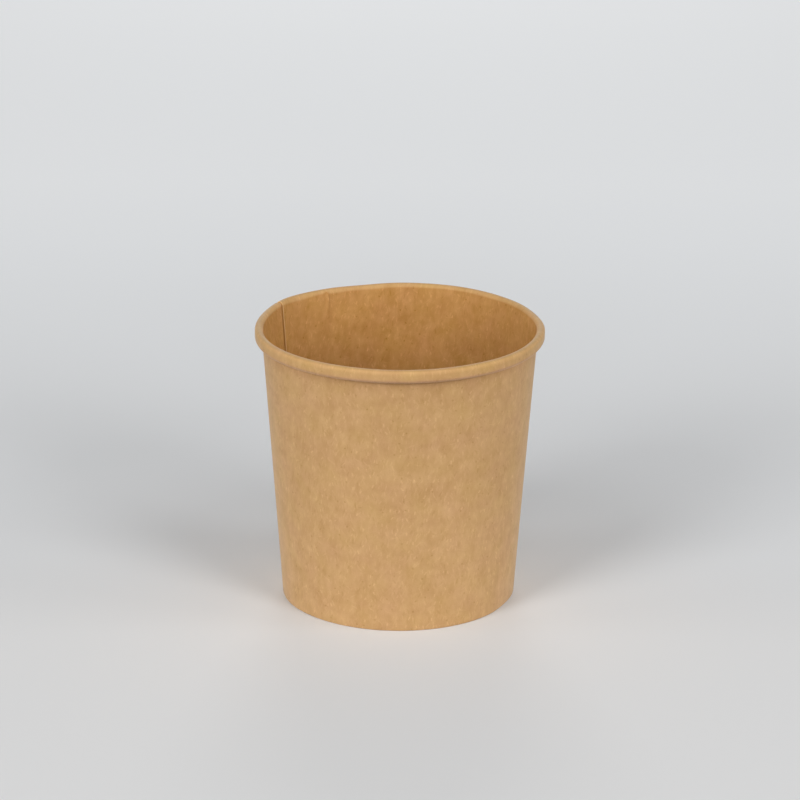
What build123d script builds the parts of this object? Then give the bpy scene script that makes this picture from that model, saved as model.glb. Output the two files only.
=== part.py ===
"""A disposable soup cup of kraft paperboard, empty and without its lid.

The side wall is one blank, wrapped into a cone, with a glued lap seam, a rolled rim and a foot folded up
inside. The base disc is a second sheet, whose turned-down skirt is bonded into the foot. Millimetres, +Z up,
with the origin in the middle of the plane that the cup stands on.
"""

from build123d import *
from math import atan, cos, degrees, sin, tan
import os

# Overall sizes
rim_diameter = 90.0  # over the rolled rim, which sets the size of the lid
cup_height = 88.0
foot_diameter = 73.2  # outside of the wall, drawn on down to the standing plane

# Board of the two sheets
wall_board = 0.45
base_board = 0.38
bond_line = 0.02  # clearance between two layers that are bonded to each other

# Rolled rim
rim_overhang = 2.0  # from the wall's outside, drawn on up to the rim, to the outside of the roll
rim_side = 1.7  # straight outer side of the roll, where a lid grips

# Folded foot and base
base_recess = 8.6  # from the standing plane up to the underside of the base
base_bend = 0.4  # inside of the bend between the base and its skirt
hem_gap = 1.4  # from the hem's cut edge up to the underside of the base
skirt_gap = 0.4  # from the foot's fold up to the skirt's cut edge

# Lap seam of the wall
seam_angle = 149.3  # the cut edge that shows inside, counter-clockwise from +X seen from above
lap_width = 7.0
ramp_width = 1.3  # where the outer lap climbs over the cut edge of the inner one

# The thin board's bends are drawn as short chords, so many to a quarter turn, which keeps the rings light
top_chords = 3
curl_chords = 2
fold_chords = 2

# Worked out from the sizes above
rim_radius = rim_diameter / 2
foot_radius = foot_diameter / 2
slope = atan((rim_radius - rim_overhang - foot_radius) / cup_height)
slope_angle = degrees(slope)
pocket = base_board + 2 * bond_line  # room for the skirt, between the wall and the hem
seam_radius = (rim_radius + foot_radius) / 2
lap_angle = degrees(lap_width / seam_radius)
ramp_angle = degrees(ramp_width / seam_radius)

# The rim's top bends from the wall's inner face out to the straight side, and its underside bends from there
# back to the wall's outer face.
wall_run = (rim_radius - foot_radius) * cos(slope)
top_radius = (wall_run - cup_height * sin(slope) + wall_board) / (1 + cos(slope) - sin(slope))
top_centre = Vector(rim_radius - top_radius, cup_height - top_radius)
curl_height = top_centre.Y - rim_side
curl_radius = (wall_run - curl_height * sin(slope) - bond_line) / (1 + cos(slope))
curl_centre = Vector(rim_radius - curl_radius, curl_height)


def beside_wall(offset, height):
    """The point at this height on a line beside the wall, this far out from the wall's outer face."""
    return Vector(foot_radius + height * tan(slope) + offset / cos(slope), height)


def bend(centre, radius, start, end, chords):
    """The points round a bend, from the start angle to the end angle. A bend of no radius is one corner."""
    if radius == 0:
        return [centre]
    step = (end - start) / chords
    return [centre + Vector(radius, 0).rotate(Axis.Z, start + step * i) for i in range(chords + 1)]


def wall_line(depth, lift):
    """The line at this depth below the inner face of the wall's board, from the hem to the end of the roll.

    The lift moves the wall and the rim outward, and leaves the hem and the foot where they are.
    """
    layer = depth + lift
    hem_end = beside_wall(-wall_board - pocket - depth, base_recess - hem_gap)
    hem_fold = beside_wall(-wall_board - pocket, wall_board)
    foot_fold = beside_wall(lift - wall_board, wall_board)
    line = [hem_end]
    line += bend(hem_fold, depth, 180 - slope_angle, 270, fold_chords)
    line += bend(foot_fold, depth, -90, -slope_angle, fold_chords)
    line += bend(top_centre, top_radius - layer, 180 - slope_angle, 90, top_chords)
    line += bend(top_centre, top_radius - layer, 90, 0, top_chords)[1:]
    line += bend(curl_centre, curl_radius - layer, 0, -90, curl_chords)
    line += bend(curl_centre, curl_radius - layer, -90, -180 - slope_angle, curl_chords)[1:]
    return line


def base_line(depth):
    """The line at this depth below the upper face of the base's board, from the axis to the skirt's edge."""
    outside = base_bend + base_board
    centre = beside_wall(-wall_board - bond_line - outside, base_recess - base_bend)
    skirt_end = beside_wall(-wall_board - bond_line - depth, wall_board + skirt_gap)
    line = [Vector(0, base_recess + base_board - depth)]
    line += bend(centre, outside - depth, 90, -slope_angle, fold_chords)
    line += [skirt_end]
    return line


def wall_section(angle, lift=0.0):
    """The cut section of the wall's board, on the upright half plane at this angle from +X."""
    with BuildSketch(Plane.XZ.rotated((0, 0, angle))) as section:
        with BuildLine():
            Polyline(*wall_line(0, lift), *reversed(wall_line(wall_board, lift)), close=True)
        make_face()
    return section.sketch


with BuildPart() as sidewall:
    ramp_end = seam_angle + ramp_angle
    # The wrap, from the foot of the ramp round to the cut edge that shows inside
    revolve(wall_section(ramp_end), axis=Axis.Z, revolution_arc=360 - ramp_angle)
    # The outer lap, one board further out
    revolve(wall_section(seam_angle - lap_angle, wall_board), axis=Axis.Z, revolution_arc=lap_angle)
    # The ramp between them
    loft([wall_section(seam_angle, wall_board), wall_section(ramp_end)], ruled=True)

with BuildPart() as bottom_disc:
    with BuildSketch(Plane.XZ):
        with BuildLine():
            Polyline(*base_line(0), *reversed(base_line(base_board)), close=True)
        make_face()
    revolve(axis=Axis.Z)

sidewall.part.label = "sidewall"
bottom_disc.part.label = "bottom_disc"
os.makedirs("parts", exist_ok=True)
export_step(sidewall.part, "parts/sidewall.step")
export_step(bottom_disc.part, "parts/bottom_disc.step")
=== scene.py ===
"""A disposable soup cup of kraft paperboard, dressed around its CAD model.

The side wall is one blank of board, wrapped with a lapped seam, rolled at the rim and folded up inside at
the foot. The base is a second sheet with a turned-down skirt. Both are built here as sheets of real
thickness. Lengths are in millimetres until the meshes are made, which are in metres. Angles are in degrees
from +X, counter-clockwise seen from above.
"""

import math

import bpy
import numpy as np
from mathutils import Matrix, Vector


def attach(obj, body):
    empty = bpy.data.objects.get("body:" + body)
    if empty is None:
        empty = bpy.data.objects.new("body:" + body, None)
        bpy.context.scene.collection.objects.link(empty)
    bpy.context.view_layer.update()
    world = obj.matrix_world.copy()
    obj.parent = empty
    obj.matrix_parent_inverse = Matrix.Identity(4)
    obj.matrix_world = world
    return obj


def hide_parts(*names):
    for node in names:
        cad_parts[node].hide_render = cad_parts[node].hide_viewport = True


MM = 0.001

# Sizes of the CAD model
rim_radius = 45.0
cup_height = 88.0
foot_radius = 36.6  # outside of the wall, drawn on down to the standing plane
wall_board = 0.45
base_board = 0.38
bond_line = 0.02  # clearance between two layers that are bonded to each other
rim_overhang = 2.0  # from the wall's outside, drawn on up to the rim, to the outside of the roll
rim_side = 1.7  # straight outer side of the roll
base_recess = 8.6  # from the standing plane up to the underside of the base
base_bend = 0.4  # inside of the bend between the base and its skirt
hem_gap = 1.4  # from the hem's cut edge up to the underside of the base
skirt_gap = 0.4  # from the foot's fold up to the skirt's cut edge
seam_angle = 149.3  # the cut edge that shows inside
lap_width = 7.0
ramp_width = 1.3  # where the outer lap climbs over the cut edge of the inner one

# Worked out in the same way as in the CAD model
slope = math.atan((rim_radius - rim_overhang - foot_radius) / cup_height)
slope_angle = math.degrees(slope)
pocket = base_board + 2 * bond_line
seam_radius = (rim_radius + foot_radius) / 2
lap_angle = math.degrees(lap_width / seam_radius)
ramp_angle = math.degrees(ramp_width / seam_radius)
wall_run = (rim_radius - foot_radius) * math.cos(slope)
top_radius = wall_run - cup_height * math.sin(slope) + wall_board
top_radius /= 1 + math.cos(slope) - math.sin(slope)
top_centre = (rim_radius - top_radius, cup_height - top_radius)
curl_height = top_centre[1] - rim_side
curl_radius = (wall_run - curl_height * math.sin(slope) - bond_line) / (1 + math.cos(slope))
curl_centre = (rim_radius - curl_radius, curl_height)

# Finer sizes of the scene's sheets. A span is where something begins, is full, is last full and ends.
crease_radius = 0.04  # inside of the tight folds
knurl_count = 80  # ridges round the hem
knurl_depth = 0.12
knurl_span = (1.0, 2.2, 5.9, 6.9)  # heights on the hem
edge_slant = 0.25  # how far the cut edge that shows inside is pressed aside
crevice_depth = 0.1
crevice_span = (4, 9, 85.5, 87.2)  # heights of the crevice beside that edge
crevice_turn = (359.4, 359.9, 361, 364)  # degrees that it is turned from the inner lap's edge
curl_crop = 0.73  # share of the curl's turn that the inner lap keeps

# Rows of points along the blank's section
hem_rows = 7
fold_rows = 5
wall_rows = 36
top_rows = 9
curl_rows = 17
foot_count = hem_rows + 2 * fold_rows
roll_count = 2 * top_rows - 1 + curl_rows

# Columns of points round the wall, in degrees turned clockwise from the inner lap's edge
wrap_angle = 360 + lap_angle
crop_angle = lap_angle + 0.03  # the trimmed part of the inner lap ends in one narrow column
column_step = 0.75
smallest_step = 0.02

# Rows and columns of the base
disc_rows = 26
base_bend_rows = 7
skirt_rows = 6
disc_columns = 240

# How easily the rim's inner side bends over: above 0 it starts lower and shows wider. The lists of what is
# uneven round the cup give (angle, width in degrees, mm).
rim_ease = [
    (138, 9, 0.75),
    (123.6, 0.9, -0.75),
    (118.5, 4.5, 0.6),
    (103, 9, 0.4),
    (80, 12, 0.2),
    (48, 9, 0.25),
    (12, 14, -0.2),
    (-28, 12, 0.25),
    (-62, 15, -0.15),
    (-100, 13, 0.2),
    (-140, 15, -0.2),
    (-168, 12, 0.25),
]

# The mouth is a little out of round, ever less towards the foot
mouth_bulges = [
    (144, 13, 0.55),
    (107, 12, -0.55),
    (65, 12, 0.2),
    (22, 11, -0.25),
    (1, 11, 0.28),
    (-45, 16, 0.3),
    (-110, 18, -0.25),
    (-150, 14, 0.3),
]

# The rim isn't quite level
rim_drop = 0.27
rim_waves = [
    (145, 12, 0.24),
    (106, 11, -0.17),
    (62, 16, 0.05),
    (25, 10, 0.14),
    (-10, 9, -0.08),
    (-52, 14, 0.06),
    (-150, 10, 0.08),
    (180, 7, -0.08),
]
wave_heights = (66, 86)  # the waves fade in between them

# The foot is a little out of round
foot_bulges = [(203, 14, 0.3), (-24, 12, -0.4)]
foot_bulge_top = 12

# A kink of the rim runs down the wall as a crease: (width in degrees, mm inward, span of heights)
crease_angle = 122.8
creases = [
    (1.1, 0.10, (58, 80, 86.4, 87.7)),
    (0.5, 0.42, (80.2, 85.2, 86.4, 87.7)),
]

# Where the columns lie closer: (from, to, count)
crease_turn = seam_angle - crease_angle
finer_columns = [
    (360 - ramp_angle, 360, 7),  # the ramp
    (crease_turn - 2.4, crease_turn + 2.4, 21),  # the kink of the rim
    (359.2, 360.4, 9),  # the crevice beside the seam's cut edge
]

# The wall's print side gets painted shade close under the roll, from the first of these heights to the
# second
painted_shade_heights = (80.3, 84.0)

sharp_angle = 40  # faces that meet at more than this keep a sharp edge between them

# Slots of the sheets' materials
food_slot, print_slot, cut_slot, rolled_slot = range(4)


def beside_wall(offset, height):
    """The radius at this height on a line beside the wall, this far out from the wall's outer face."""
    return foot_radius + height * math.tan(slope) + offset / math.cos(slope)


def smooth_step(value, low, high):
    """0 at low, 1 at high and a smooth change between them."""
    t = np.clip((value - low) / (high - low), 0, 1)
    return t * t * (3 - 2 * t)


def plateau(value, begin, full, last, end):
    """1 from full to last, 0 outside of begin and end, and a smooth change between."""
    return smooth_step(value, begin, full) * smooth_step(-value, -end, -last)


def bumps(angles, places):
    """The sum of rounded bumps at places around the cup, each (angle, width in degrees, amount)."""
    total = np.zeros_like(angles)
    for angle, width, amount in places:
        away = (angles - angle + 180) % 360 - 180
        total = total + amount * np.exp(-((away / width) ** 2))
    return total


def arc(centre, radius, start, end, count):
    """Radius and height of the points round a bend. The radius may be one number for each column."""
    turn = np.radians(np.linspace(start, end, count))
    return centre[0] + radius * np.cos(turn), centre[1] + radius * np.sin(turn)


def running_length(radii, heights):
    """How far along a section each of its points lies."""
    return np.concatenate([[0], np.cumsum(np.hypot(np.diff(radii), np.diff(heights)))])


def around(angles, radii, heights):
    """Points in space from angles around the cup, radii and heights."""
    turn = np.radians(angles) * np.ones_like(radii)
    return np.stack([radii * np.cos(turn), radii * np.sin(turn), heights * np.ones_like(radii)], axis=-1)


def sheet_faces(present, wrap, roll_start):
    """The faces of a sheet of real thickness, and the material slot of each.

    Vertices are numbered column by column, first those of the food side and then those of the print side.
    A cell that isn't present is left out, and each edge of what is left gets a strip of cut board. The first
    row of a sheet that wraps is one point in its middle. From the row roll_start on, the food side is that
    of the rim's roll.
    """
    columns, rows = present.shape
    rows_of_points = rows + 1
    points = (columns if wrap else columns + 1) * rows_of_points
    faces = []
    slots = []
    for i in range(columns):
        after = (i + 1) % columns if wrap else i + 1
        for j in range(rows):
            if not present[i, j]:
                continue
            a = i * rows_of_points + j
            b = after * rows_of_points + j
            in_middle = wrap and j == 0
            corners = (0, b + 1, a + 1) if in_middle else (a, b, b + 1, a + 1)
            faces.append(corners)
            slots.append(rolled_slot if j >= roll_start else food_slot)
            faces.append(tuple(points + c for c in reversed(corners)))
            slots.append(print_slot)
            if in_middle:
                continue
            beside = [
                j > 0 and present[i, j - 1],
                present[after, j] if wrap else i + 1 < columns and present[i + 1, j],
                j + 1 < rows and present[i, j + 1],
                (wrap or i > 0) and present[i - 1, j],
            ]
            for side in range(4):
                if not beside[side]:
                    first, second = corners[side], corners[(side + 1) % 4]
                    faces.append((second, first, points + first, points + second))
                    slots.append(cut_slot)
    return faces, slots


def make_sheet(name, sides, flat, rolled, present, materials, wrap, roll_start):
    """A mesh object of a sheet, from the points of its food side and its print side, in mm.

    Flat holds each point's place on the flat blank, which the materials read as the attribute sheet. Rolled
    says how far each point of the food side lies along the rim's roll, and how much painted shade each
    point of the print side gets close under it, which they read as the attribute rolled.
    """
    faces, slots = sheet_faces(present, wrap, roll_start)
    points = np.concatenate([side.reshape(-1, 3) for side in sides])
    flats = np.concatenate([flat.reshape(-1, 2)] * 2)
    which_side = np.repeat([0.0, 1.0], len(points) // 2)
    # Points that no face uses are left out
    used, renumbered = np.unique([c for face in faces for c in face], return_inverse=True)
    ends = np.cumsum([len(face) for face in faces])
    faces = [part.tolist() for part in np.split(renumbered, ends[:-1])]
    mesh = bpy.data.meshes.new(name)
    mesh.from_pydata(points[used] * MM, [], faces)
    for material in materials:
        mesh.materials.append(material)
    mesh.polygons.foreach_set("material_index", np.array(slots, dtype=np.int32))
    mesh.polygons.foreach_set("use_smooth", np.ones(len(slots), dtype=bool))
    place = mesh.attributes.new("sheet", "FLOAT_VECTOR", "POINT")
    values = np.column_stack([flats[used], which_side[used]])
    place.data.foreach_set("vector", values.astype(np.float32).ravel())
    roll = mesh.attributes.new("rolled", "FLOAT", "POINT")
    roll.data.foreach_set("value", rolled.ravel()[used].astype(np.float32))
    mesh.set_sharp_from_angle(angle=math.radians(sharp_angle))
    mesh.validate()
    mesh.update()
    piece = bpy.data.objects.new(name, mesh)
    bpy.context.scene.collection.objects.link(piece)
    return piece


def wall_section(depth, lift, ease):
    """Radius and height of the blank's rows, from the hem's cut edge to the end of the roll.

    The rows lie at this depth below the food side. Lift and ease hold one number for each column: how far
    outward the outer lap lies, and how much lower the rim's inner side begins to bend.
    """
    one = np.ones_like(lift)
    tight = max(depth, crease_radius)
    layer = depth + lift
    heights = np.linspace(base_recess - hem_gap, wall_board, hem_rows, endpoint=False)
    parts = [(beside_wall(-wall_board - pocket - tight, heights) * one, heights * one)]
    hem_fold = (beside_wall(-wall_board - pocket, wall_board) * one, wall_board * one)
    parts.append(arc(hem_fold, tight, 180 - slope_angle, 270, fold_rows))
    foot_fold = (beside_wall(lift - wall_board, wall_board), wall_board * one)
    parts.append(arc(foot_fold, tight, -90, -slope_angle, fold_rows))
    # The wall ends where the rim's inner side begins to bend
    bend_start = top_centre[1] - ease + (top_radius + ease) * math.sin(slope)
    share = np.linspace(0, 1, wall_rows + 2)[1:-1]
    heights = wall_board + (bend_start - wall_board) * share
    parts.append((beside_wall(layer - wall_board, heights), heights))
    turn = np.radians(np.linspace(180 - slope_angle, 90, top_rows))
    radii = top_centre[0] + (top_radius - layer) * np.cos(turn)
    radii = radii - ease * math.tan(slope) * (1 - np.sin(turn))
    heights = top_centre[1] - ease + (top_radius + ease - layer) * np.sin(turn)
    parts.append((radii, heights))
    radii, heights = arc(top_centre, top_radius - layer, 90, 0, top_rows)
    parts.append((radii[:, 1:], heights[:, 1:]))
    parts.append(arc(curl_centre, curl_radius - layer, 0, -180 - slope_angle, curl_rows))
    return np.hstack([p[0] for p in parts]), np.hstack([p[1] for p in parts])


def foot_shift(angles, heights):
    """How far outward the foot is bulged or dented."""
    return bumps(angles, foot_bulges) * smooth_step(-heights, -foot_bulge_top, 0)


def shape_wall(angles, radii, heights):
    """The small unevenness of a real cup: where each point of the wall lies after it."""
    mouth_shift = bumps(angles, mouth_bulges) * (heights / cup_height) ** 2
    rise = (bumps(angles, rim_waves) - rim_drop) * smooth_step(heights, *wave_heights)
    crease = 0
    for width, amount, span in creases:
        crease = crease + bumps(angles, [(crease_angle, width, amount)]) * plateau(heights, *span)
    return radii + mouth_shift + foot_shift(angles, heights) - crease, heights + rise


def wall_columns():
    """How far each column of the wall is turned clockwise from the inner lap's edge, in degrees."""
    turned = [np.arange(0, wrap_angle, column_step), [lap_angle, crop_angle, wrap_angle]]
    turned += [np.linspace(*span) for span in finer_columns]
    turned = np.unique(np.round(np.concatenate(turned), 3))
    return turned[np.concatenate([[True], np.diff(turned) > smallest_step])]


def wall_sides(turned):
    """The points of the wall's food side and of its print side, column by column."""
    angles = (seam_angle - turned)[:, None]
    lift = (wall_board + bond_line) * smooth_step(turned, 360 - ramp_angle, 360)[:, None]
    ease = bumps(angles, rim_ease)

    # The lap behind the cut edge that shows inside leaves a crevice beside it
    radii, heights = wall_section(0, lift, ease)
    crevice = plateau(turned, *crevice_turn)[:, None] * plateau(heights, *crevice_span)
    radii, heights = shape_wall(angles, radii + crevice_depth * crevice, heights)
    slant = np.where(turned == 0, math.degrees(edge_slant / seam_radius), 0)[:, None]
    food_side = around(angles - slant, radii, heights)

    # A roller pressed a knurl into the print side of the hem
    radii, heights = wall_section(wall_board, lift, ease)
    knurl = plateau(heights, *knurl_span) * (0.5 - 0.5 * np.cos(np.radians(angles * knurl_count)))
    knurl[:, hem_rows:] = 0
    radii, heights = shape_wall(angles, radii + knurl_depth * knurl, heights)
    print_side = around(angles, radii, heights)
    return food_side, print_side


def make_sidewall(materials):
    """The side wall, from the cut edge of the inner lap, clockwise round to that of the outer lap."""
    turned = wall_columns()
    even = np.zeros((1, 1))
    middle_radii, middle_heights = (rows[0] for rows in wall_section(wall_board / 2, even, even))
    along = running_length(middle_radii, middle_heights)
    along -= along[foot_count]
    # The flat blank is part of a ring about the cone's tip
    from_tip = foot_radius / math.sin(slope) + along
    fan = np.radians(turned - wrap_angle / 2)[:, None] * math.sin(slope)
    flat = np.stack([from_tip * np.sin(fan), from_tip * np.cos(fan) - from_tip[foot_count]], axis=-1)
    # The inner lap is trimmed away in the foot and in the roll's curl, which keeps those thin
    cells = len(along) - 1
    curl_end = cells - (curl_rows - 1) + round(curl_crop * (curl_rows - 1))
    cell = np.arange(cells)
    trimmed = (cell < foot_count) | (cell >= curl_end)
    inner_lap = turned[1:] < crop_angle + smallest_step
    present = ~(inner_lap[:, None] & trimmed)
    # How far along the roll each row of the food side lies, and the print side's painted shade under it
    roll_start = len(along) - roll_count
    along_roll = np.clip((along - along[roll_start]) / (along[-1] - along[roll_start]), 0, 1)
    painted_under_roll_shade = smooth_step(middle_heights, *painted_shade_heights) * (along <= along[roll_start])
    rolled = np.stack([np.tile(rows, (len(turned), 1)) for rows in (along_roll, painted_under_roll_shade)])
    sides = wall_sides(turned)
    return make_sheet(
        "sidewall_board", sides, flat, rolled, present, materials, wrap=False, roll_start=roll_start
    )


def base_section(depth):
    """Radius and height of the base's rows, from its middle to the skirt's cut edge."""
    outside = base_bend + base_board
    centre_height = base_recess - base_bend
    centre = (beside_wall(-wall_board - bond_line - outside, centre_height), centre_height)
    disc_radii = np.linspace(0.0, centre[0], disc_rows, endpoint=False)
    disc_heights = np.full(disc_rows, base_recess + base_board - depth)
    bend_radii, bend_heights = arc(centre, outside - depth, 90, -slope_angle, base_bend_rows)
    skirt_heights = np.linspace(bend_heights[-1], wall_board + skirt_gap, skirt_rows)[1:]
    skirt_radii = beside_wall(-wall_board - bond_line - depth, skirt_heights)
    radii = np.concatenate([disc_radii, bend_radii, skirt_radii])
    heights = np.concatenate([disc_heights, bend_heights, skirt_heights])
    return radii, heights


def make_base(materials):
    """The base disc with its skirt."""
    angles = np.arange(disc_columns)[:, None] * -360 / disc_columns
    sides = []
    for depth in (0, base_board):
        radii, heights = (np.tile(rows, (disc_columns, 1)) for rows in base_section(depth))
        # The skirt follows the foot that it is bonded into, and the disc does ever less towards its middle
        radii = radii + foot_shift(angles, heights) * (radii / foot_radius) ** 4
        sides.append(around(angles, radii, heights))
    along = running_length(*base_section(base_board / 2))
    turn = np.radians(angles)
    flat = np.stack([along * np.cos(turn), along * np.sin(turn)], axis=-1)
    present = np.ones((disc_columns, len(along) - 1), dtype=bool)
    rolled = np.zeros((2, disc_columns, len(along)))
    return make_sheet(
        "base_board", sides, flat, rolled, present, materials, wrap=True, roll_start=len(along)
    )


class Graph:
    """Short calls for building a material's nodes."""

    def __init__(self, name=None, tree=None):
        if tree is None:
            self.material = bpy.data.materials.new(name)
            self.material.use_nodes = True
            tree = self.material.node_tree
        self.tree = tree
        self.tree.nodes.clear()

    def add(self, kind, inputs=None, **settings):
        """A node of this kind. An input may be a number, a colour or another node's output."""
        node = self.tree.nodes.new(kind)
        for key, value in settings.items():
            setattr(node, key, value)
        for key, value in (inputs or {}).items():
            if isinstance(value, bpy.types.NodeSocket):
                self.tree.links.new(value, node.inputs[key])
            else:
                node.inputs[key].default_value = value
        return node

    def attribute(self, name, output):
        """An attribute of the mesh."""
        return self.add("ShaderNodeAttribute", attribute_name=name).outputs[output]

    def math(self, operation, first, second=0.0, third=0.0):
        """One operation on numbers."""
        node = self.add("ShaderNodeMath", {0: first, 1: second, 2: third}, operation=operation)
        return node.outputs[0]

    def vector(self, operation, first, second=(0, 0, 0), third=(0, 0, 0)):
        """One operation on vectors."""
        node = self.add("ShaderNodeVectorMath", {0: first, 1: second, 2: third}, operation=operation)
        return node.outputs[0]

    def parts(self, vector):
        """The three parts of a vector."""
        return self.add("ShaderNodeSeparateXYZ", {0: vector}).outputs

    def noise(self, place, scale, detail=2.0, roughness=0.5, output="Fac"):
        """A soft random change from place to place, as a number or as a colour."""
        inputs = {"Vector": place, "Scale": scale, "Detail": detail, "Roughness": roughness}
        return self.add("ShaderNodeTexNoise", inputs).outputs[output]

    def ramp(self, value, colours):
        """A colour that changes evenly along the value, from 0 to 1. Colours are (share, colour)."""
        node = self.add("ShaderNodeValToRGB", {0: value})
        elements = node.color_ramp.elements
        for share, colour in colours[1:-1]:
            elements.new(share).color = (*colour, 1)
        for element, (share, colour) in ((elements[0], colours[0]), (elements[-1], colours[-1])):
            element.position = share
            element.color = (*colour, 1)
        return node.outputs[0]

    def fade(self, value, full, none):
        """1 while the value is below full, 0 above none and a smooth change between them."""
        inputs = {"Value": value, "From Min": full, "From Max": none, "To Min": 1.0, "To Max": 0.0}
        return self.add("ShaderNodeMapRange", inputs, interpolation_type="SMOOTHSTEP").outputs[0]

    def seen_directly(self):
        """1 for what the camera sees, straight or in a reflection or through glass, and otherwise 0."""
        rays = self.add("ShaderNodeLightPath").outputs
        direct = self.math("MAXIMUM", rays["Is Camera Ray"], rays["Is Transmission Ray"])
        return self.math("MAXIMUM", direct, rays["Is Glossy Ray"])


# How much each layer of the board's look lightens it: (layer, its usual value, amount)
board_layers = [
    ("clouds", 0.5, 0.18),
    ("mottle", 0.5, 0.32),
    ("bands", 0.5, 0.27),
    ("blotches", 0.5, 0.15),
    ("streaks", 0.5, 0.19),
    ("grain", 0.5, 0.2),
    ("light fibres", 0.1, 0.1),
    ("stray fibres", 0.04, 0.1),
    ("flecks", 0.01, 0.18),
    ("dark fibres", 0.08, -0.1),
    ("specks", 0.01, -0.22),
]
side_shift = 211.0  # mm between what the two sides of the board show of the same random fibres
paleness = (0.8, 1.02, 1.65)  # what lightening the board adds to its red, green and blue
hue_turn = (0.1, -0.25, 1.0)  # what the drift of its hue adds to them
hue_drift = 0.22
hue_shift = (47.0, 11.0, 0)  # mm from the random tones to those of the hue
haze_tint = (1.0, 0.94, 0.84, 1)  # of the sheen

# How much each layer stands out, and by how much in all
board_relief = [("grain", 0.5), ("streaks", 0.6), ("light fibres", 0.25)]
relief_strength = 0.5
relief_height = 0.05 * MM

# A fibre begins to fade at the first share of its width and of its length, from its middle, and is gone at
# the second. The faintest fibre has this share of the strongest one's cover.
fibre_edge = (0.15, 0.6)
fibre_end = (0.3, 0.55)
faintest_fibre = 0.3


def fibres(graph, place, cell, length, width, spread, share, shift=(0, 0, 0)):
    """How much a fibre covers each point, from 0 to 1.

    Cells are (across, along) in mm, and this share of them has a fibre. Spread is the most that one is
    turned away from the grain, in radians.
    """
    moved = graph.vector("ADD", place, shift)
    scaled = graph.vector("DIVIDE", moved, (*cell, 1))
    inputs = {"Vector": scaled, "Scale": 1.0}
    cells = graph.add("ShaderNodeTexVoronoi", inputs, voronoi_dimensions="2D")
    away = graph.vector("SUBTRACT", scaled, cells.outputs["Position"])
    away = graph.vector("MULTIPLY", away, (*cell, 0))
    chance = graph.add("ShaderNodeSeparateColor", {0: cells.outputs["Color"]}).outputs
    turn = graph.math("MULTIPLY_ADD", chance[0], 2 * spread, -spread)
    turned = graph.add("ShaderNodeVectorRotate", {"Vector": away, "Angle": turn}, rotation_type="Z_AXIS")
    parts = graph.parts(turned.outputs[0])
    across = graph.fade(graph.math("ABSOLUTE", parts[0]), width * fibre_edge[0], width * fibre_edge[1])
    along = graph.fade(graph.math("ABSOLUTE", parts[1]), length * fibre_end[0], length * fibre_end[1])
    there = graph.math("LESS_THAN", chance[1], share)
    strength = graph.math("MULTIPLY_ADD", chance[2], 1 - faintest_fibre, faintest_fibre)
    covered = graph.math("MULTIPLY", across, along)
    return graph.math("MULTIPLY", graph.math("MULTIPLY", covered, there), strength)


def board_place(graph, sheet, side):
    """Where each point of the board lies on its flat blank, in mm, with the two sides far apart."""
    flat = graph.vector("MULTIPLY", sheet, (1, 1, 0))
    shift = graph.add("ShaderNodeCombineXYZ", {0: graph.math("MULTIPLY", side, side_shift)}).outputs[0]
    return graph.vector("ADD", flat, shift)


def board_look(graph, place):
    """The layers of the board's look: soft changes of tone, in features a mm, and its fibres and specks."""
    # Fibres are never quite straight
    wander = graph.vector("SUBTRACT", graph.noise(place, 0.25, 1.0, output="Color"), (0.5, 0.5, 0.5))
    bent = graph.vector("ADD", place, graph.vector("MULTIPLY", wander, (1, 1, 0)))

    def along_grain(squeeze):
        """Places for features that are longer along the grain than across it, the more the lower this is."""
        return graph.vector("MULTIPLY", bent, (1, squeeze, 1))

    return {
        "clouds": graph.noise(place, 0.055),
        "mottle": graph.noise(place, 0.2),
        "bands": graph.noise(along_grain(0.3), 0.42),
        "blotches": graph.noise(along_grain(0.7), 0.5, roughness=0.55),
        "streaks": graph.noise(along_grain(0.5), 0.85, 3.0, 0.6),
        "grain": graph.noise(place, 3.4, roughness=0.6),
        "light fibres": fibres(graph, bent, (1.7, 2.6), 1.7, 0.5, 0.4, 0.7),
        "stray fibres": fibres(graph, bent, (2.7, 3.6), 2.4, 0.45, 1.4, 0.5, (31.7, 17.3, 0)),
        "dark fibres": fibres(graph, bent, (2.1, 3.1), 1.9, 0.5, 0.6, 0.5, (71.3, 53.9, 0)),
        "flecks": fibres(graph, bent, (2.0, 2.6), 1.25, 0.55, 0.6, 0.33, (13.9, 91.1, 0)),
        "specks": fibres(graph, place, (3.3, 3.7), 0.7, 0.6, 1.5, 0.4, (57.1, 23.3, 0)),
    }


def board_tone(graph, layers, contrast, painted_height_light):
    """How much lighter than its plain colour the board is.

    The last argument paints light and shade by height: how much lighter it is at the rim than at the foot.
    """
    # Painted light and shade by height: the board is made lighter or darker towards the rim
    height = graph.parts(graph.add("ShaderNodeTexCoord").outputs["Object"])[2]
    tone = graph.math("MULTIPLY_ADD", height, painted_height_light / (cup_height * MM), -painted_height_light)
    for layer, usual, amount in board_layers:
        amount = amount * contrast
        change = graph.math("MULTIPLY_ADD", layers[layer], amount, -usual * amount)
        tone = graph.math("ADD", change, tone)
    return tone


def board_bump(graph, layers, bump):
    """The board's normal, with its fibres standing out a little."""
    relief = 0.0
    for layer, amount in board_relief:
        relief = graph.math("MULTIPLY_ADD", layers[layer], amount, relief)
    inputs = {"Height": relief, "Strength": relief_strength * bump, "Distance": relief_height}
    return graph.add("ShaderNodeBump", inputs).outputs[0]


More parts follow.
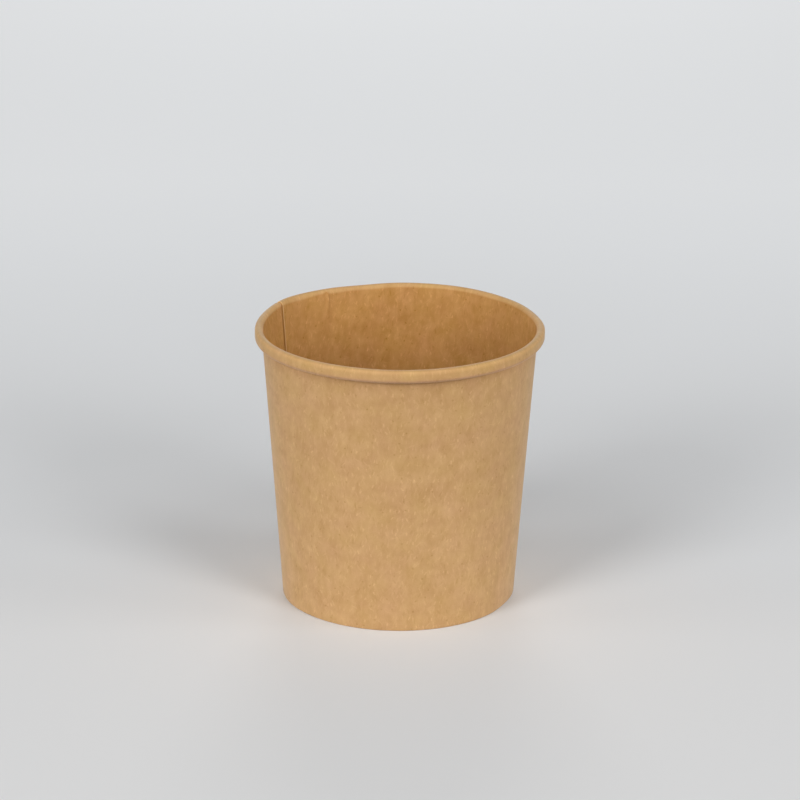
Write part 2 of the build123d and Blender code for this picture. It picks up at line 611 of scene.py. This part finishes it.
def kraft(name, driver, colours, roughness, specular, sheen, contrast=1.0, bump=1.0, painted_height_light=0.0):
    """Kraft board, its fibres mostly along the blank's grain, with soft mottling, fine grain and flecks.

    Colours are (share, colour) along the driver, which is rolled, or side for the way across a cut edge.
    """
    graph = Graph(name)
    sheet = graph.attribute("sheet", "Vector")
    side = graph.parts(sheet)[2]
    place = board_place(graph, sheet, side)
    layers = board_look(graph, place)
    # Lighter fibres are paler, and the hue drifts a little between pink and yellow
    tone = board_tone(graph, layers, contrast, painted_height_light)
    tint = graph.vector("MULTIPLY_ADD", tone, paleness, (1, 1, 1))
    hue = graph.noise(graph.vector("ADD", place, hue_shift), 0.12, 1.5)
    drift = graph.math("MULTIPLY_ADD", hue, hue_drift, -hue_drift / 2)
    tint = graph.vector("MULTIPLY_ADD", drift, hue_turn, tint)
    plain = graph.ramp(side if driver == "side" else graph.attribute("rolled", "Fac"), colours)
    inputs = {
        "Base Color": graph.vector("MULTIPLY", plain, tint),
        "Roughness": roughness,
        "Normal": board_bump(graph, layers, bump),
        "Specular IOR Level": specular,
        "Sheen Weight": sheen,
        "Sheen Roughness": 0.4,
        "Sheen Tint": haze_tint,
    }
    shader = graph.add("ShaderNodeBsdfPrincipled", inputs)
    graph.add("ShaderNodeOutputMaterial", {"Surface": shader.outputs[0]})
    return graph.material


# Along the roll the food side is paler where it begins to bend and darker over its top. A painted highlight
# runs along its outer shoulder, and painted light lightens its lower edge, which would lie in shade; that
# edge is also pinker.
food_colours = [
    (0.0, (0.535, 0.28, 0.091)),
    (0.05, (0.6, 0.352, 0.138)),
    (0.12, (0.59, 0.347, 0.138)),
    (0.2, (0.5, 0.294, 0.118)),
    (0.26, (0.53, 0.312, 0.127)),
    (0.33, (0.61, 0.36, 0.15)),
    (0.45, (0.55, 0.328, 0.134)),
    (0.6, (0.54, 0.317, 0.135)),
    (0.69, (0.51, 0.288, 0.145)),
    (0.77, (0.59, 0.325, 0.165)),
    (0.84, (0.5, 0.26, 0.11)),
]
# Painted shade: close under the roll the print side is a little darker
print_colours = [
    (0.0, (0.518, 0.303, 0.1245)),
    (1.0, (0.47, 0.258, 0.104)),
]
# Across a cut edge the board is pale at its food side, lightened with painted light, and dark brown at its
# print side, partly glue and partly painted shadow of the crevice beside it
edge_colours = [
    (0.35, (0.7, 0.46, 0.22)),
    (0.55, (0.46, 0.23, 0.06)),
]


def film():
    """The filmed food side."""
    # Painted shade: the inside gets darker towards its bottom
    look = {"roughness": 0.65, "specular": 0.1, "sheen": 0.0, "contrast": 1.2, "bump": 0.6, "painted_height_light": 0.16}
    return kraft("kraft_food_side", "rolled", food_colours, **look)


def rolled_film():
    """The same side where it is stretched round the roll, which makes the film a little hazy."""
    # Painted light by height, as on the rest of the food side
    look = {"roughness": 0.65, "specular": 0.1, "sheen": 0.38, "contrast": 0.75, "bump": 0.5, "painted_height_light": 0.16}
    return kraft("kraft_rolled_rim", "rolled", food_colours, **look)


def bare_board():
    """The bare print side."""
    # Painted shade: the outside gets a little darker towards the rim
    look = {"roughness": 0.85, "specular": 0.5, "sheen": 0.3, "painted_height_light": -0.02}
    return kraft("kraft_print_side", "rolled", print_colours, **look)


def cut_board():
    """The core of the board, where it is cut."""
    look = {"roughness": 0.9, "specular": 0.4, "sheen": 0.1, "contrast": 1.2}
    return kraft("kraft_cut_edge", "side", edge_colours, **look)


# What the camera sees of the floor: distance behind the object in metres, grey, blueness and glow
floor_stops = [
    (-0.16, 0.745, 0.006, 0.0),
    (-0.03, 0.785, 0.008, 0.0),
    (0.025, 0.83, 0.017, 0.0),
    (0.09, 0.835, 0.017, 0.0),
    (0.163, 0.845, 0.017, 0.0),
    (0.37, 0.84, 0.019, 0.122),
    (0.46, 0.84, 0.017, 0.154),
    (0.81, 0.84, 0.016, 0.175),
]
# The grey with which the floor lights the object, at two distances from it in metres
near_bounce = (0.1, 0.8)
far_bounce = (0.32, 0.14)
floor_half = 4.0


def floor_paper():
    """Pale paper. Away from the object it sends less light back to it than the camera sees there."""
    graph = Graph("floor_paper")
    where = graph.add("ShaderNodeTexCoord").outputs["Object"]
    first, last = floor_stops[0][0], floor_stops[-1][0]
    inputs = {"Value": graph.parts(where)[1], "From Min": first, "From Max": last}
    share = graph.add("ShaderNodeMapRange", inputs).outputs[0]
    paper, glow = [], []
    for distance, grey, blueness, glowing in floor_stops:
        for colours, level in ((paper, grey), (glow, glowing)):
            colour = (level * (1 - blueness), level, level * (1 + blueness))
            colours.append(((distance - first) / (last - first), colour))
    lit = graph.add("ShaderNodeBsdfDiffuse", {"Color": graph.ramp(share, paper)})
    shining = graph.add("ShaderNodeEmission", {"Color": graph.ramp(share, glow), "Strength": 1.0})
    seen = graph.add("ShaderNodeAddShader", {0: lit.outputs[0], 1: shining.outputs[0]})
    away = graph.add("ShaderNodeVectorMath", {0: where}, operation="LENGTH").outputs["Value"]
    inputs = {"Value": away, "From Min": near_bounce[0], "From Max": far_bounce[0]}
    inputs.update({"To Min": near_bounce[1], "To Max": far_bounce[1]})
    bounce = graph.add("ShaderNodeMapRange", inputs).outputs[0]
    bounced = graph.add("ShaderNodeBsdfDiffuse", {"Color": bounce})
    inputs = {0: graph.seen_directly(), 1: bounced.outputs[0], 2: seen.outputs[0]}
    mixed = graph.add("ShaderNodeMixShader", inputs)
    graph.add("ShaderNodeOutputMaterial", {"Surface": mixed.outputs[0]})
    return graph.material


def make_floor():
    """A plain paper floor, much larger than the view."""
    half = floor_half
    corners = [(-half, -half, 0), (half, -half, 0), (half, half, 0), (-half, half, 0)]
    mesh = bpy.data.meshes.new("floor")
    mesh.from_pydata(corners, [], [(0, 1, 2, 3)])
    mesh.materials.append(floor_paper())
    floor = bpy.data.objects.new("floor", mesh)
    bpy.context.scene.collection.objects.link(floor)


world_light = (1, 1, 1, 1)
world_level = 0.12
backdrop_colour = (0.73, 0.74, 0.76, 1)


def make_world():
    """A weak even light, which the camera and reflections see as a pale backdrop."""
    world = bpy.data.worlds.new("studio")
    world.use_nodes = True
    graph = Graph(tree=world.node_tree)
    light = graph.add("ShaderNodeBackground", {"Color": world_light, "Strength": world_level})
    seen = graph.add("ShaderNodeBackground", {"Color": backdrop_colour, "Strength": 1.0})
    inputs = {0: graph.seen_directly(), 1: light.outputs[0], 2: seen.outputs[0]}
    mixed = graph.add("ShaderNodeMixShader", inputs)
    graph.add("ShaderNodeOutputWorld", {"Surface": mixed.outputs[0]})
    bpy.context.scene.world = world


# The photograph's view, from a long lens: metres and degrees
camera_place = (0.0, -1.1866, 0.47682)
camera_down = 19.224
camera_roll = 0.274
camera_yaw = -0.0128
camera_lens = 180.67
camera_sensor = 36.0


def make_camera():
    """The camera, at the photograph's viewing angle."""
    data = bpy.data.cameras.new("camera")
    data.sensor_width = camera_sensor
    data.lens = camera_lens
    camera = bpy.data.objects.new("camera", data)
    camera.location = camera_place
    pitch = Matrix.Rotation(math.pi / 2 - math.radians(camera_down), 4, "X")
    roll = Matrix.Rotation(math.radians(camera_roll), 4, "Z")
    yaw = Matrix.Rotation(math.radians(camera_yaw), 4, "Z")
    camera.rotation_euler = (yaw @ (pitch @ roll)).to_euler()
    bpy.context.scene.collection.objects.link(camera)
    bpy.context.scene.camera = camera


# Soft lamps all round, the strongest from the front left and right: (name, azimuth, elevation, level).
# Azimuth is from the camera's side towards +X. A level of 1 shows white paper as white.
lamps = [
    ("key_left", -40, 30, 0.33),
    ("key_left_high", -40, 50, 0.106),
    ("key_right", 40, 30, 0.291),
    ("key_right_high", 40, 55, 0.085),
    ("front_low", 0, 12, 0.168),
    ("side_left", -80, 12, 0.23),
    ("side_right", 78, 21, 0.221),
    ("back", 180, 30, 0.187),
]
lamp_size = 0.6
lamp_distance = 1.5
lamp_target = (0.0, 0.0, 0.04)


def make_lamp(name, azimuth, elevation, level):
    """A round soft lamp, turned towards the object."""
    data = bpy.data.lights.new(name, "AREA")
    data.shape = "DISK"
    data.size = lamp_size
    data.energy = level * math.pi**2 * lamp_distance**2
    lamp = bpy.data.objects.new(name, data)
    turn, rise = math.radians(azimuth), math.radians(elevation)
    toward = Vector((math.cos(rise) * math.sin(turn), -math.cos(rise) * math.cos(turn), math.sin(rise)))
    lamp.location = lamp_distance * toward
    aim = Vector(lamp_target) - lamp.location
    lamp.rotation_euler = aim.to_track_quat("-Z", "Y").to_euler()
    bpy.context.scene.collection.objects.link(lamp)


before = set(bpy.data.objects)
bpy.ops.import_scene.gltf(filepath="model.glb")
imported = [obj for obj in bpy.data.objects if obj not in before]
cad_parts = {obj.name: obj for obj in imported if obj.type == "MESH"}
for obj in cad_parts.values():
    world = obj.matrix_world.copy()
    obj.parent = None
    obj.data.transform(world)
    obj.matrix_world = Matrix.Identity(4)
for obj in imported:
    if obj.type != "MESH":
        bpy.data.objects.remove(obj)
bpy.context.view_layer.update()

make_camera()
make_world()
make_floor()
for lamp_row in lamps:
    make_lamp(*lamp_row)
bpy.context.scene.view_settings.view_transform = "Standard"

board_materials = [film(), bare_board(), cut_board(), rolled_film()]

sidewall = make_sidewall(board_materials)
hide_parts("sidewall")
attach(sidewall, "root")

base = make_base(board_materials[:rolled_slot])
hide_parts("bottom_disc")
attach(base, "root")
